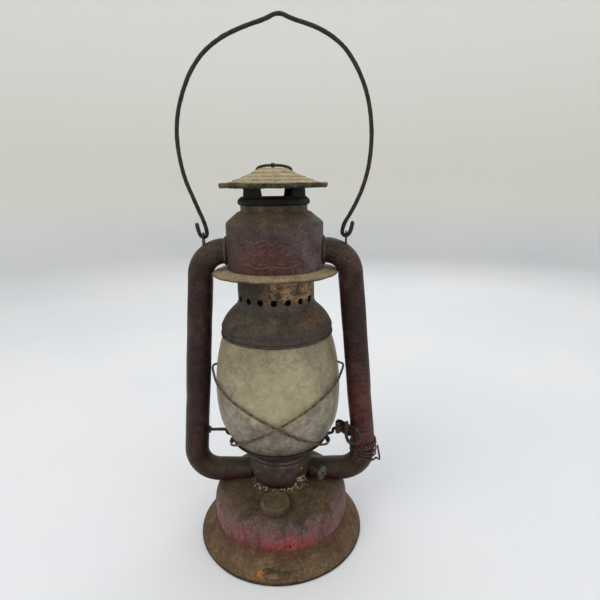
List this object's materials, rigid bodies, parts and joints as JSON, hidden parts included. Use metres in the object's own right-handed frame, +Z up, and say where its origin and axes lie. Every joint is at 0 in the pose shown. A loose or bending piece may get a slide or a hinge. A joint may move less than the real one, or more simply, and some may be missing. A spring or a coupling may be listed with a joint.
{
  "type": "barn lantern",
  "caption": "Cold-blast kerosene barn lantern with a flared foot, side air tubes, guarded glass globe on a lift crank, hooded chimney and wire bail.",
  "frame": {"origin": "centre of the foot ring, on the surface that the lantern stands on", "axes": "+Z up the chimney; the side tubes lie along X, the filler cap is towards -Y and the lift lever towards +X"},
  "size_m": [0.2009, 0.17, 0.4949],
  "materials": {
    "painted_tin": "aged maroon enamel, dusty",
    "hood_enamel": "aged maroon enamel, dusty",
    "tank_tin": "worn red enamel under brown grime",
    "foot_tin": "khaki grime over enamel",
    "dusty_tin": "pale dust over enamel",
    "bell_tin": "sooty and rusted",
    "inner_tin": "tarnished",
    "wire": "dark rusted wire",
    "repair": "soft rusted wire",
    "spring_steel": "rusted",
    "globe_glass": "dusty glass",
    "burner_brass": "tarnished",
    "knob_zinc": "dull grey",
    "wick_cotton": "charred at the top",
    "cork": "matte",
    "solder": "dull"
  },
  "bodies": {
    "lantern_body": {"foot_ring": "foot_tin", "font_tank": "tank_tin", "font_bottom": "inner_tin", "filler_neck": "inner_tin", "collar": "painted_tin", "burner_seat": "inner_tin", "burner_body": "burner_brass", "wick_tube": "burner_brass", "air_strainer": "inner_tin", "burner_cone": "burner_brass", "left_tube": "painted_tin", "right_tube": "painted_tin", "hood": "hood_enamel", "rain_guard": "dusty_tin", "nozzle_rings": "solder", "left_ear": "wire", "right_ear": "wire", "crank_bearing": "wire", "lever_bracket": "bell_tin", "bracket_rivet": "solder", "pivot_bush": "wire", "repair_wire": "repair", "chimney_spring": "spring_steel"},
    "bail": {"bail": "wire"},
    "crank": {"lift_crank": "wire"},
    "globe_carriage": {"globe": "globe_glass", "globe_plate": "bell_tin", "guard_wire_inner": "wire", "guard_wire_outer": "wire"},
    "chimney": {"bell": "bell_tin", "flue": "inner_tin", "vent_band": "bell_tin", "chimney_cap": "dusty_tin", "ring_lug": "wire"},
    "finger_ring": {"lift_ring": "wire"},
    "cap_washer": {"filler_gasket": "cork"},
    "fuel_cap": {"filler_cap": "tank_tin"},
    "wick_strip": {"wick": "wick_cotton"},
    "wick_key": {"wick_spindle": "burner_brass", "ratchet_wheels": "burner_brass", "wick_knob": "knob_zinc"}
  },
  "joints": [
    {"name": "bail_swing", "type": "hinge", "parent": "lantern_body", "child": "bail", "pos_m": [0, 0, 0.3095], "axis": [1, 0, 0], "range_deg": [-115, 115]},
    {"name": "crank_turn", "type": "hinge", "parent": "lantern_body", "child": "crank", "pos_m": [0, 0, 0.111], "axis": [1, 0, 0], "range_deg": [0, 28.02]},
    {"name": "globe_lift", "type": "slide", "parent": "lantern_body", "child": "globe_carriage", "axis": [0, 0, 1], "range_m": [0, 0.011]},
    {"name": "chimney_lift", "type": "slide", "parent": "globe_carriage", "child": "chimney", "axis": [0, 0, 1], "range_m": [0, 0.022], "stiffness_N_per_m": 80, "springref_m": -0.03, "deforming": ["chimney_spring"]},
    {"name": "ring_fold", "type": "hinge", "parent": "chimney", "child": "finger_ring", "pos_m": [0, 0.001, 0.3727], "axis": [1, 0, 0], "range_deg": [0, 110]},
    {"name": "cap_travel", "type": "slide", "parent": "lantern_body", "child": "cap_washer", "axis": [0, -0.0872, 0.9962], "range_m": [0, 0.0075]},
    {"name": "cap_turn", "type": "hinge", "parent": "cap_washer", "child": "fuel_cap", "pos_m": [-0.003, -0.0495, 0.0568], "axis": [0, -0.0872, 0.9962], "range_deg": [0, 1080.2]},
    {"name": "key_turn", "type": "hinge", "parent": "lantern_body", "child": "wick_key", "pos_m": [0.0028, 0.00415, 0.0748], "axis": [0.829, -0.5592, 0], "range_deg": [-100, 120]},
    {"name": "wick_raise", "type": "slide", "parent": "lantern_body", "child": "wick_strip", "axis": [0, 0, 1], "range_m": [-0.00774, 0.00645]}
  ],
  "couplings": [
    {"joint": "crank_turn", "follows": "globe_lift", "rad_per_m": 44.427},
    {"joint": "cap_turn", "follows": "cap_travel", "rad_per_m": 2513.3},
    {"joint": "key_turn", "follows": "wick_raise", "rad_per_m": -270.27}
  ]
}
